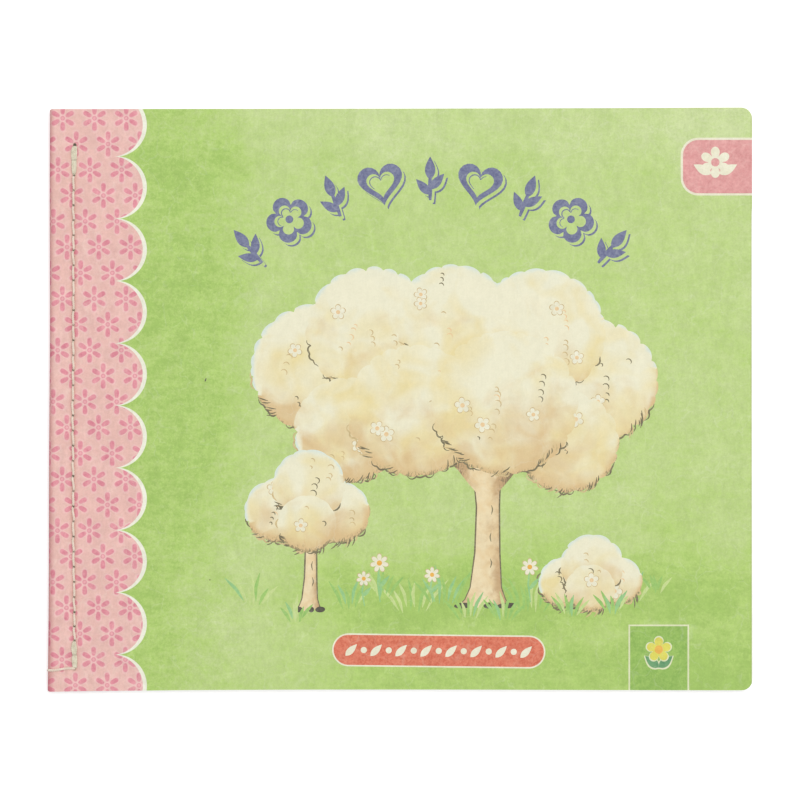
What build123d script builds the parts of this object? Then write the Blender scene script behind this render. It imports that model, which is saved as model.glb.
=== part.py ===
from build123d import *
import math
import os

# A soft sewn book of tear-proof synthetic paper, lying closed with its front cover up.
# +X runs from the spine to the fore-edge, +Y to the head of the page and +Z up.
# The origin is under the middle of the book, on the surface that it lies on. Lengths are in millimetres.

# Sheets
page_width = 180.0
page_height = 149.5
sheet_thickness = 0.25
inner_sheets = 3
fore_corner_radius = 2.8
spine_corner_radius = 0.5

# Nested fold at the spine
fold_inner_radius = 0.12
fold_gap = 0.06

# Leaves beyond the seam, pinched together at the crease and lying loosely at the fore-edge
crease_offset = 2.6
bend_length = 20.0
pinch_gap = 0.05
leaf_gap = 0.2
cover_clearance = 0.1
crease_gap = 0.05

# Lockstitch seam
seam_inset = 6.3
seam_head_margin = 9.3
seam_foot_margin = 5.75
nominal_stitch_length = 3.84
pressed_half_width = 1.0
needle_hole_length = 1.1
needle_hole_width = 0.8
thread_width = 0.6
thread_height = 0.35
thread_side_height = 0.12
thread_dip_height = 0.06
thread_crown_width = 0.26
thread_clearance = 0.04
backtack_stitches = 2
backtack_strand_pitch = 0.4
tail_diameter = 0.5
tail_sides = 8

# Places that follow from the sizes
leaf_count = 2 * inner_sheets
mid_leaf = inner_sheets + 1
stack_half = inner_sheets * sheet_thickness
flap_half = stack_half + sheet_thickness
spine_x = (tail_diameter + thread_clearance - page_width) / 2
fore_x = spine_x + page_width
seam_x = spine_x + seam_inset
press_x = seam_x - pressed_half_width
crease_x = seam_x + crease_offset
bend_end_x = crease_x + bend_length
seam_head_y = page_height / 2 - seam_head_margin
seam_foot_y = seam_foot_margin - page_height / 2
stitch_count = round((seam_head_y - seam_foot_y) / nominal_stitch_length)
stitch_length = (seam_head_y - seam_foot_y) / stitch_count
hole_places = [seam_head_y - i * stitch_length for i in range(stitch_count + 1)]


def fold_outer_radius(sheet):
    """Outer radius of a sheet's fold: sheet 0 is the innermost, and the cover comes after the last."""
    return fold_inner_radius + (sheet + 1) * sheet_thickness + sheet * fold_gap


cover_fold_radius = fold_outer_radius(inner_sheets)
fold_x = spine_x + cover_fold_radius
mid_z = cover_fold_radius + tail_diameter + thread_clearance
flap_top_z = mid_z + flap_half
flap_bottom_z = mid_z - flap_half
closed_height = (leaf_count + 2) * sheet_thickness + (leaf_count + 1) * leaf_gap
slab_height = max(closed_height, 2 * mid_z)


def fold_line(level, radius):
    """Half of a sheet's face round the fold: a run from the pressed zone, tangent to its half circle."""
    reach = press_x - fold_x
    touch = math.atan2(level, reach) + math.acos(radius / math.hypot(level, reach))
    touch_x = fold_x + radius * math.cos(touch)
    touch_rise = radius * math.sin(touch)
    upper_run = Line((press_x, mid_z + level), (touch_x, mid_z + touch_rise))
    turn = ThreePointArc(upper_run @ 1, (fold_x - radius, mid_z), (touch_x, mid_z - touch_rise))
    lower_run = Line(turn @ 1, (press_x, mid_z - level))
    return [upper_run, turn, lower_run]


def leaf_level(leaf):
    """Underside of a leaf where it lies loosely: leaf 0 is the back cover."""
    return leaf * (sheet_thickness + leaf_gap)


def crease_level(leaf):
    """Underside of a leaf where the seam presses the stack together."""
    return mid_z + (leaf - mid_leaf) * sheet_thickness


def leaf_line(start_z, end_z, end_x):
    """Long face of a leaf in section: a soft double bend from the crease, then level."""
    middle = ((crease_x + bend_end_x) / 2, (start_z + end_z) / 2)
    level_run = Line((bend_end_x, end_z), (end_x, end_z))
    if start_z == end_z:
        return [Line((crease_x, start_z), (bend_end_x, end_z)), level_run]
    leaving = TangentArc((crease_x, start_z), middle, tangent=(1, 0))
    settling = TangentArc(leaving @ 1, (bend_end_x, end_z), tangent=leaving % 1)
    return [leaving, settling, level_run]


def band(lower, upper):
    """Face between two lines that run the same way, closed at both ends."""
    ends = [Line(lower[0] @ 0, upper[0] @ 0), Line(lower[-1] @ 1, upper[-1] @ 1)]
    return make_face(lower + upper + ends)


def across_page(section):
    """Section in the XZ plane, carried from the foot of the page to the head."""
    return extrude(Plane.XZ * section, amount=page_height / 2, both=True)


def page_slab():
    """Outline of a closed page, rounded at its corners, taller than the whole book."""
    outline = Pos((spine_x + fore_x) / 2, 0) * Rectangle(page_width, page_height)
    outline = fillet(outline.vertices().group_by(Axis.X)[-1], fore_corner_radius)
    outline = fillet(outline.vertices().group_by(Axis.X)[0], spine_corner_radius)
    return Pos(0, 0, -slab_height / 2) * extrude(outline, amount=2 * slab_height)


def needle_holes():
    """Slits that the cutting point of the needle leaves through the whole stack."""
    slit = Polyline(
        (0, needle_hole_length / 2),
        (needle_hole_width / 2, 0),
        (0, -needle_hole_length / 2),
        (-needle_hole_width / 2, 0),
        close=True,
    )
    punch = extrude(make_face(slit), amount=slab_height)
    return [Pos(seam_x, y, 0) * punch for y in hole_places]


def page_block():
    """Folded sheets, nested one in another: joined where the seam presses them, free everywhere else."""
    last_sheet = inner_sheets - 1
    lower_flat = Line((press_x, mid_z - stack_half), (crease_x, mid_z - stack_half))
    upper_flat = Line((press_x, mid_z + stack_half), (crease_x, mid_z + stack_half))
    lower_face = leaf_line(mid_z - stack_half, leaf_level(1), fore_x)
    upper_level = leaf_level(leaf_count) + sheet_thickness
    upper_face = leaf_line(mid_z + stack_half, upper_level, fore_x)
    fore_edge = Line(lower_face[-1] @ 1, upper_face[-1] @ 1)
    fold = fold_line(stack_half, fold_outer_radius(last_sheet))
    section = make_face(fold + [lower_flat, upper_flat, fore_edge] + lower_face + upper_face)
    for leaf in range(1, leaf_count):
        slit_end_x = fore_x + fore_corner_radius
        root_z = crease_level(leaf + 1)
        below = leaf_line(root_z - pinch_gap / 2, leaf_level(leaf) + sheet_thickness, slit_end_x)
        above = leaf_line(root_z + pinch_gap / 2, leaf_level(leaf + 1), slit_end_x)
        section -= band(below, above)
    section -= make_face(fold_line(0, fold_inner_radius))
    for sheet in range(last_sheet):
        level = (sheet + 1) * sheet_thickness
        inside = fold_line(level, fold_outer_radius(sheet))
        outside = fold_line(level, fold_outer_radius(sheet) + fold_gap)
        section -= make_face(inside + outside)
    return (across_page(section) & page_slab()) - needle_holes()


def cover_fold():
    """Fold of the cover sheet, with the two margins that the seam holds, as far as the creases."""
    end_x = crease_x - crease_gap
    outside = fold_line(flap_half, cover_fold_radius)
    inside = fold_line(stack_half, cover_fold_radius - sheet_thickness)
    edges = []
    for side in (-1, 1):
        outer_z = mid_z + side * flap_half
        inner_z = mid_z + side * stack_half
        edges.append(Line((press_x, outer_z), (end_x, outer_z)))
        edges.append(Line((end_x, outer_z), (end_x, inner_z)))
        edges.append(Line((end_x, inner_z), (press_x, inner_z)))
    section = make_face(outside + inside + edges)
    return (across_page(section) & page_slab()) - needle_holes()


def cover_leaf(leaf, side):
    """Free part of the cover sheet beyond its crease: side is 1 for the front and -1 for the back."""
    start_z = crease_level(leaf) + side * cover_clearance
    under = leaf_line(start_z, leaf_level(leaf), fore_x)
    over = leaf_line(start_z + sheet_thickness, leaf_level(leaf) + sheet_thickness, fore_x)
    return across_page(band(under, over)) & page_slab()


def thread_form():
    """Cross-section of a thread that lies on the cover, with a rounded crown."""
    corners = Polyline(
        (-thread_width / 2, 0),
        (-thread_width / 2, thread_side_height),
        (-thread_crown_width / 2, thread_height),
        (thread_crown_width / 2, thread_height),
        (thread_width / 2, thread_side_height),
        (thread_width / 2, 0),
        close=True,
    )
    return extrude(Plane.XZ * make_face(corners), amount=stitch_length, both=True)


def one_stitch():
    """Thread between two needle holes: it rises out of one, arches over and dips into the next."""
    half = stitch_length / 2
    arch = ThreePointArc((-half, thread_dip_height), (0, thread_height), (half, thread_dip_height))
    underside = Polyline(arch @ 0, (-half, 0), (half, 0), arch @ 1)
    side_view = Plane.YZ * make_face([arch, underside])
    return extrude(side_view, amount=thread_width, both=True) & thread_form()


def thread_leg(height):
    """Thread in one needle hole, from the lock in the middle of the stack up to a height over the cover."""
    half_length = needle_hole_length / 2 - thread_clearance
    half_width = needle_hole_width / 2 - thread_clearance
    outline = Polyline((0, half_length), (half_width, 0), (0, -half_length), (-half_width, 0), close=True)
    return Pos(0, 0, -flap_half) * extrude(make_face(outline), amount=flap_half + height)


def seam_thread():
    """One thread of the lockstitch, with its surface at height 0: stitches, legs and sewn-back ends."""
    stitch = one_stitch()
    leg = thread_leg(0)
    pieces = [Pos(seam_x, y, 0) * leg for y in hole_places]
    for i in range(stitch_count):
        middle_y = (hole_places[i] + hole_places[i + 1]) / 2
        pieces.append(Pos(seam_x, middle_y, 0) * stitch)
        if i < backtack_stitches or i >= stitch_count - backtack_stitches:
            pieces.append(Pos(seam_x - backtack_strand_pitch, middle_y, 0) * stitch)
            pieces.append(Pos(seam_x + backtack_strand_pitch, middle_y, 0) * stitch)
    return pieces[0].fuse(*pieces[1:])


def thread_tail():
    """End of the needle thread: from the last hole round the spine fold to the back of that hole."""
    lift = tail_diameter / 2 + thread_clearance
    foot_y = hole_places[-1]
    start_x = seam_x + thread_width / 2
    route = fold_line(flap_half + lift, cover_fold_radius + lift)
    lead_in = Line((start_x, flap_top_z + lift), (press_x, flap_top_z + lift))
    lead_out = Line((press_x, flap_bottom_z - lift), (seam_x - thread_width / 2, flap_bottom_z - lift))
    path = Pos(0, foot_y, 0) * (Plane.XZ * Wire([lead_in] + route + [lead_out]))
    face_turn = 180 / tail_sides
    section = Plane(path @ 0, z_dir=path % 0) * RegularPolygon(
        tail_diameter / 2, tail_sides, major_radius=False, rotation=face_turn
    )
    tail = sweep(section, path=path, transition=Transition.RIGHT)
    return tail + Pos(seam_x, foot_y, flap_top_z) * thread_leg(lift)


thread = seam_thread()
needle_thread = Pos(0, 0, flap_top_z) * thread + thread_tail()
bobbin_thread = Pos(0, 0, flap_bottom_z) * mirror(thread, about=Plane.XY)

nodes = {
    "pages": page_block(),
    "spine_wrap": cover_fold(),
    "front_cover": cover_leaf(leaf_count + 1, 1),
    "back_cover": cover_leaf(0, -1),
    "needle_thread": needle_thread,
    "bobbin_thread": bobbin_thread,
}

os.makedirs("parts", exist_ok=True)
for name, solid in nodes.items():
    solid.label = name
    export_step(solid, f"parts/{name}.step")
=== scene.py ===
import math
import random

import bpy
import numpy as np
from mathutils.geometry import delaunay_2d_cdt
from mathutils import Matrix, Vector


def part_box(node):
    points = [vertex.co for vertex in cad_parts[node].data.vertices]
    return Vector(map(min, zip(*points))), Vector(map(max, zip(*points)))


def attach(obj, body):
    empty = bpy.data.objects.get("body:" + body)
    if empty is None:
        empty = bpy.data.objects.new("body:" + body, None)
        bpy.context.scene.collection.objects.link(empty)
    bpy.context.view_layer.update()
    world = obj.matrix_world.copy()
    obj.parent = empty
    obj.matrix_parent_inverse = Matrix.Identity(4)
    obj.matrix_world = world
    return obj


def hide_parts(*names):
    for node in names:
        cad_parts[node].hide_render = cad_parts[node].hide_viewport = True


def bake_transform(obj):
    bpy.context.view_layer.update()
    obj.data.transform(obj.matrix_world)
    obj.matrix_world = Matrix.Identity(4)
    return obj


# A soft sewn book of tear-proof paper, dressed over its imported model.
# Lengths are millimetres until a mesh is made; x runs to the fore-edge, y to the head, z up.

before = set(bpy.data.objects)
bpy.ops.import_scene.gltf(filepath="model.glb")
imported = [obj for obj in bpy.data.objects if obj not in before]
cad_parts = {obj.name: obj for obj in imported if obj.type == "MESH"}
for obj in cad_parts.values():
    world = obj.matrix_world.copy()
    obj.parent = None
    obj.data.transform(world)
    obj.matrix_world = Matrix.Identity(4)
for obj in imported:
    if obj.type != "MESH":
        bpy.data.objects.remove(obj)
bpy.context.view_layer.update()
MM = 0.001


def node_box(node):
    """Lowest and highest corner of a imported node."""
    return tuple(np.array(corner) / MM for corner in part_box(node))


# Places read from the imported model
wrap_low, wrap_high = node_box("spine_wrap")
cover_low, cover_high = node_box("front_cover")
bobbin_low, bobbin_high = node_box("bobbin_thread")
SPINE_X, FORE_X, CREASE_X = wrap_low[0], cover_high[0], cover_low[0]
HALF_HEIGHT, TOP_Z = cover_high[1], cover_high[2]
MID_Z = (wrap_low[2] + wrap_high[2]) / 2
FOLD_RADIUS = (wrap_high[2] - wrap_low[2]) / 2
FOLD_X = SPINE_X + FOLD_RADIUS
SEAM_X = (bobbin_low[0] + bobbin_high[0]) / 2

# Sheets, as in the model
SHEET = 0.25
SHEETS = 4
LEAF_PITCH = (TOP_Z - SHEET) / (2 * SHEETS - 1)
FOLD_PITCH = 0.31
FLAP_HALF = SHEETS * SHEET
PRESS_X = SEAM_X - 1.0
BEND_END_X = CREASE_X + 20.0
FORE_CORNER = 2.8
SPINE_CORNER = 0.8
# Thickness of a sheet's shell: less than the sheet's own, so that sheets on each other share no face
SKIN = 0.235

# Seam
SEAM_HEAD_Y = HALF_HEIGHT - 9.3
SEAM_FOOT_Y = 5.75 - HALF_HEIGHT
STITCHES = 35
STITCH = (SEAM_HEAD_Y - SEAM_FOOT_Y) / STITCHES
LONG_STITCHES = 31
LONG_STITCH = 3.87
BACKTACK = 2
SEAM_WANDER_Y = (-69.0, -36.0, 0.0, 53.0, 65.5)
SEAM_WANDER_X = (0.62, 0.12, -0.2, -0.1, 0.21)
HOLE_LENGTH = 0.95
HOLE_WIDTH = 0.76
FIRST_HOLE_GROWTH = 1.3
HOLE_DEPTH = 0.06
HOLE_RINGS = (1.0, 0.7, 0.35)
GROOVE_DEPTH = 0.06
DIMPLE_DEPTH = 0.08
PUCKER_HEIGHT = 0.02

# Printed pattern: S is measured along the sheet from the fold line, X and Y from the middle of the page
SCALLOP_PITCH = 15.95
SCALLOP_RADIUS = 8.04
SCALLOP_PINK_S = 16.66
SCALLOP_CREAM_GAP = 1.06
SCALLOP_CREST_Y = 70.1
SCALLOP_SOFTNESS = 0.07
FLOWER_PITCH = 8.154
FLOWER_ROW = 6.601
FLOWER_ROW_SHIFT = 3.484
FLOWER_X = -77.98
FLOWER_Y = 71.9
PETAL_START = 0.95
PETAL_END = 3.2
PETAL_START_WIDTH = 1.06
PETAL_END_WIDTH = 1.34
PETAL_ROUNDNESS = 2.6
FLOWER_EYE = 0.6

UV_SCALE = 100.0
rng = random.Random(7)

# Section of the folded sheets: how many points each stretch gets, and how its corners are rounded off

FOLD_POINTS = 40
RUN_POINTS = 20
FLAT_POINTS = 12
BEND_POINTS = 60
SECTION_STEP = 0.1
SMOOTH_REACH = 6
SMOOTH_WIDTH = 2.5


def smooth_step(t):
    """0 up to t = 0, 1 from t = 1, and a soft slope between."""
    t = np.clip(t, 0, 1)
    return t * t * (3 - 2 * t)


def bell(t):
    """1 at t = 0, and softly down to 0 on both sides."""
    return np.exp(-(t**2))


def half_section(level, radius, rest_z, side):
    """Middle line of one half of a folded sheet, from the fold's outermost point to the fore-edge."""
    reach = PRESS_X - FOLD_X
    touch = math.atan2(level, reach) + math.acos(radius / math.hypot(level, reach))
    angles = np.linspace(math.pi, touch, FOLD_POINTS)
    fold_x, fold_z = FOLD_X + radius * np.cos(angles), radius * np.sin(angles)
    run_x = np.linspace(fold_x[-1], PRESS_X, RUN_POINTS)[1:]
    run_z = np.linspace(fold_z[-1], level, RUN_POINTS)[1:]
    flat_x = np.linspace(PRESS_X, CREASE_X, FLAT_POINTS)[1:]
    bend_x = np.linspace(CREASE_X, BEND_END_X, BEND_POINTS)[1:]
    drop = side * (rest_z - MID_Z) - level
    bend_z = level + drop * smooth_step((bend_x - CREASE_X) / (BEND_END_X - CREASE_X))
    x = np.concatenate([fold_x, run_x, flat_x, bend_x, [FORE_X]])
    z = np.concatenate([fold_z, run_z, np.full_like(flat_x, level), bend_z, bend_z[-1:]])
    return x, MID_Z + side * z


def smoothed(row):
    """Evenly spaced samples with their corners rounded off, apart from the ends."""
    kernel = np.exp(-0.5 * (np.arange(-SMOOTH_REACH, SMOOTH_REACH + 1) / SMOOTH_WIDTH) ** 2)
    soft = row.copy()
    soft[SMOOTH_REACH:-SMOOTH_REACH] = np.convolve(row, kernel / kernel.sum(), "valid")
    return soft


class Section:
    """Middle line of a whole folded sheet. s runs along it from the fold, above 0 in front."""

    def __init__(self, sheet):
        level = (sheet + 0.5) * SHEET
        radius = FOLD_RADIUS - SHEET / 2 - (SHEETS - 1 - sheet) * FOLD_PITCH
        top_x, top_z = half_section(level, radius, (SHEETS + sheet) * LEAF_PITCH + SHEET / 2, 1)
        low_x, low_z = half_section(level, radius, (SHEETS - 1 - sheet) * LEAF_PITCH + SHEET / 2, -1)
        x = np.concatenate([low_x[::-1], top_x[1:]])
        z = np.concatenate([low_z[::-1], top_z[1:]])
        s = np.concatenate([[0], np.cumsum(np.hypot(np.diff(x), np.diff(z)))])
        s -= s[len(low_x) - 1]
        self.s = np.append(np.arange(s[0], s[-1], SECTION_STEP), s[-1])
        self.x, self.z = (smoothed(np.interp(self.s, s, row)) for row in (x, z))
        dx, dz = np.gradient(self.x, self.s), np.gradient(self.z, self.s)
        length = np.hypot(dx, dz)
        self.nx, self.nz = -dz / length, dx / length
        self.reach = {1: self.s[-1], -1: -self.s[0]}

    def at(self, s):
        """x, z and outward x, z at each s."""
        return tuple(np.interp(s, self.s, row) for row in (self.x, self.z, self.nx, self.nz))


COVER = Section(SHEETS - 1)
# How far x and s differ at the crease, where the cover lies level. The print takes it as the same all over
PRINT_X0 = float((COVER.x - COVER.s)[np.searchsorted(COVER.s, 10.0)])


def half_page(x):
    """Half of the page's height at x, less where its corners are rounded."""
    fore = np.clip(x - (FORE_X - FORE_CORNER), 0, FORE_CORNER)
    spine = np.clip(SPINE_X + SPINE_CORNER - x, 0, SPINE_CORNER)
    fore_cut = FORE_CORNER - np.sqrt(FORE_CORNER**2 - fore**2)
    spine_cut = SPINE_CORNER - np.sqrt(SPINE_CORNER**2 - spine**2)
    return HALF_HEIGHT - fore_cut - spine_cut


# How far the edges lie from a true oblong, as polynomials with the highest power first:
# the spine and the fore-edge by height up the page, the head and the foot by breadth across it
SPINE_LEAN = (-0.18, 0.27, 0.11)
FORE_LEAN = (-0.07, 0.2)
HEAD_CURVE = (0.38, 0.0, -0.5)
FOOT_CURVE = (2.23, -4.97, 3.15, -0.25)
SPINE_RIPPLE = 0.05
RIPPLE_LENGTH = 11.0
LOOSE_LENGTH = 40.0
# Waves in the loose leaves: height, and length across the page and up it
LOOSE_WAVES = ((0.07, 19.0, 31.0), (0.06, -47.0, 14.0))
LOOSE_SAG = 0.06


def settle(points):
    """How the soft book lies: a page that isn't quite square, and leaves that are a little wavy."""
    x, y, z = np.array(points, float).T
    across, up = (x - SPINE_X) / (FORE_X - SPINE_X), y / HALF_HEIGHT
    lean = np.polyval(SPINE_LEAN, up) * (1 - across) + np.polyval(FORE_LEAN, up) * across**2
    ripple = SPINE_RIPPLE * np.sin(y / RIPPLE_LENGTH) * (1 - across) ** 4
    bow = np.where(up > 0, up * np.polyval(HEAD_CURVE, across), -up * np.polyval(FOOT_CURVE, across))
    wave = sum(height * np.sin(x / breadth + y / rise) for height, breadth, rise in LOOSE_WAVES)
    loose = smooth_step((x - CREASE_X) / LOOSE_LENGTH) * np.clip(z / TOP_Z, 0, 1)
    return np.column_stack([x + lean + ripple, y + bow, z + loose * (wave - LOOSE_SAG)])


def before_settling(points):
    """Where flat points of the cover's print have to start so that settling takes them to their places."""
    flat = np.column_stack([points, np.full(len(points), TOP_Z)])
    return [(float(x), float(y)) for x, y, _ in 2 * flat - settle(flat)]


# Meshes

def link(thing):
    bpy.context.scene.collection.objects.link(thing)
    return thing


def make_mesh(name, points, faces, materials, slots, sharp_angle=50.0):
    """A piece from points in millimetres. slots gives each face's number in the list of materials' names."""
    mesh = bpy.data.meshes.new(name)
    mesh.from_pydata((np.asarray(points) * MM).tolist(), [], faces)
    for material in materials:
        mesh.materials.append(MATERIALS[material])
    mesh.polygons.foreach_set("material_index", np.asarray(slots, np.int32))
    mesh.polygons.foreach_set("use_smooth", np.ones(len(mesh.polygons), bool))
    mesh.set_sharp_from_angle(angle=math.radians(sharp_angle))
    mesh.update()
    return link(bpy.data.objects.new(name, mesh))


def quads(a, b, c, d):
    """Four-sided faces from arrays of their corners' numbers."""
    return np.stack([a, b, c, d], axis=-1).reshape(-1, 4).tolist()


def shell(faces, count):
    """Closes outer faces into a thin shell, with inner points numbered count higher. Counts its walls."""
    edges = [edge for face in faces for edge in zip(face, face[1:] + face[:1])]
    known = set(edges)
    walls = [[q, p, p + count, q + count] for p, q in edges if (q, p) not in known]
    inside = [[v + count for v in face[::-1]] for face in faces]
    return faces + inside + walls, len(walls)


def write_uv(piece, name, uv):
    """uv holds a pair for each corner of each face, in order."""
    layer = piece.data.uv_layers.new(name=name)
    layer.data.foreach_set("uv", np.asarray(uv, np.float32).ravel())
    return layer


def write_shade(piece, name, domain, values):
    layer = piece.data.attributes.new(name, "FLOAT", domain)
    layer.data.foreach_set("value", np.asarray(values, np.float32))


def corner_vertices(piece):
    found = np.empty(len(piece.data.loops), np.int32)
    piece.data.loops.foreach_get("vertex_index", found)
    return found


# Flat shapes for the print, each a list of points that runs once round

def polar(x, y, reach, angle):
    """The place at a distance from x, y in a direction given in radians."""
    return x + reach * math.cos(angle), y + reach * math.sin(angle)


def turned(points, angle):
    cos, sin = math.cos(math.radians(angle)), math.sin(math.radians(angle))
    return [(x * cos - y * sin, x * sin + y * cos) for x, y in points]


def moved(points, dx, dy):
    return [(x + dx, y + dy) for x, y in points]


def around(count):
    """Directions that go once round, evenly spaced."""
    return [2 * math.pi * i / count for i in range(count)]


def oval(cx, cy, rx, ry, angle=0.0, count=24):
    ring = [(rx * math.cos(a), ry * math.sin(a)) for a in around(count)]
    return moved(turned(ring, angle), cx, cy)


def rounded_box(cx, cy, width, height, radius, angle=0.0, count=8):
    ring = []
    for quarter in range(4):
        corner_x = (width / 2 - radius) * (1 if quarter in (0, 3) else -1)
        corner_y = (height / 2 - radius) * (1 if quarter in (0, 1) else -1)
        for i in range(count + 1):
            ring.append(polar(corner_x, corner_y, radius, math.pi / 2 * (quarter + i / count)))
    return moved(turned(ring, angle), cx, cy)


LOBE_POINTS = 9


def puff(cx, cy, rx, ry, lobes, depth, local):
    """A fluffy outline: an oval that bulges in lobes of uneven size, drawn by the random source local."""
    widths = [local.uniform(0.5, 1.5) for _ in range(lobes)]
    turn, whole = local.uniform(0, 2 * math.pi), sum(widths)
    ring = []
    for width in widths:
        height = depth * local.uniform(0.4, 1.0) * width
        for i in range(LOBE_POINTS):
            a = turn + 2 * math.pi * width / whole * i / LOBE_POINTS
            bulge = 1 - height + height * math.sin(math.pi * i / LOBE_POINTS) ** 0.7
            ring.append((cx + rx * bulge * math.cos(a), cy + ry * bulge * math.sin(a)))
        turn += 2 * math.pi * width / whole
    angles = [math.atan2(y - cy, x - cx) % (2 * math.pi) for x, y in ring]
    start = angles.index(min(angles))
    return ring[start:] + ring[:start]


def leaf(x, y, length, width, angle, count=9):
    """A pointed leaf that starts at its stalk and grows along its angle."""
    shares = [i / (count - 1) for i in range(count)]
    side = [(length * t, width / 2 * math.sin(math.pi * t**0.8)) for t in shares]
    back = [(along, -out) for along, out in side[-2:0:-1]]
    return moved(turned(side + back, angle), x, y)


def lengths_along(points):
    """How far along a line each of its points lies."""
    return np.concatenate([[0], np.cumsum(np.linalg.norm(np.diff(points, axis=0), axis=1))])


def offset_line(points, at, rise):
    """A line sampled at lengths along it, with each sample moved to the left by its rise."""
    along, points = lengths_along(points), np.array(points, float)
    x, y = (np.interp(at, along, row) for row in points.T)
    dx, dy = np.gradient(x), np.gradient(y)
    length = np.hypot(dx, dy)
    return list(zip(x - dy / length * rise, y + dx / length * rise))


def stroke(points, width, taper=0.25):
    """A drawn line with a swelling middle and thin ends."""
    whole = lengths_along(points)[-1]
    count = max(6, int(whole / 0.5))
    at = np.linspace(0, whole, count)
    half = width / 2 * (taper + (1 - taper) * np.sin(math.pi * np.linspace(0, 1, count)))
    return offset_line(points, at, -half) + offset_line(points, at, half)[::-1]


def bumpy(points, height):
    """A line remade as a row of small bumps, each about two millimetres wide."""
    whole = lengths_along(points)[-1]
    count = max(1, round(whole / 2.1))
    at = np.linspace(0, whole, count * 8 + 1)
    return offset_line(points, at, -height * np.abs(np.sin(math.pi * count * at / whole)))


def blossom(cx, cy, radius, petals=5, turn=90.0, notch=0.45):
    """A flower with round petals, in one outline."""
    ring = []
    for a in around(petals * 12):
        reach = notch + (1 - notch) * abs(math.cos(petals * a / 2)) ** 0.6
        ring.append(polar(0.0, 0.0, radius * reach, a))
    return moved(turned(ring, turn), cx, cy)


def heart(cx, cy, size, angle=0.0):
    ring = []
    for a in around(36):
        x = 16 * math.sin(a) ** 3
        y = 13 * math.cos(a) - 5 * math.cos(2 * a) - 2 * math.cos(3 * a) - math.cos(4 * a)
        ring.append((x * size / 32, (y + 2) * size / 32))
    return moved(turned(ring, angle), cx, cy)


class Print:
    """Flat coloured shapes, later ones over earlier ones. tone, if any, shades a shape by x and y."""

    def __init__(self):
        self.shapes = []

    def add(self, points, ink, tone=None):
        area = sum(x0 * y1 - x1 * y0 for (x0, y0), (x1, y1) in zip(points, points[1:] + points[:1]))
        self.shapes.append((points[::-1] if area < 0 else points, ink, tone))


# Nodes

def shader_colour(colour):
    """Levels of a colour as seen on screen, made linear as a shader takes them. A Value stays as it is."""
    if isinstance(colour, Value):
        return colour
    shares = [level / 255 for level in colour]
    return (*(v / 12.92 if v <= 0.04045 else ((v + 0.055) / 1.055) ** 2.4 for v in shares), 1.0)


class Value:
    """What a node gives. Arithmetic with values makes the nodes that work it out."""

    def __init__(self, graph, socket):
        self.graph, self.socket = graph, socket

    def __add__(self, other):
        return self.graph.math("ADD", self, other)

    def __sub__(self, other):
        return self.graph.math("SUBTRACT", self, other)

    def __rsub__(self, other):
        return self.graph.math("SUBTRACT", other, self)

    def __mul__(self, other):
        return self.graph.math("MULTIPLY", self, other)

    def __truediv__(self, other):
        return self.graph.math("DIVIDE", self, other)

    def __pow__(self, other):
        return self.graph.math("POWER", self, other)

    def __abs__(self):
        return self.graph.math("ABSOLUTE", self)

    def swing(self, reach):
        """Noise made to lie around 0, about half of reach either way."""
        return self.graph.math("MULTIPLY_ADD", self, reach, -reach / 2)

    def fade(self, start, end):
        """0 at start and before, 1 at end and beyond."""
        return self.graph.node("MapRange", {0: self, 1: start, 2: end}, interpolation_type="SMOOTHSTEP")

    def from_nearest(self, place, pitch):
        """How far a value is from the nearest of the places that repeat at a pitch."""
        return self.graph.math("WRAP", self, place + pitch / 2, place - pitch / 2) - place

    def ramp(self, *stops):
        """A colour that runs through stops, each a place and a colour."""
        made = self.graph.node("ValToRGB", {0: self})
        elements = made.socket.node.color_ramp.elements
        while len(elements) < len(stops):
            elements.new(0.5)
        for element, (place, colour) in zip(elements, stops):
            element.position = place
            element.color = shader_colour(colour)
        return made


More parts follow.
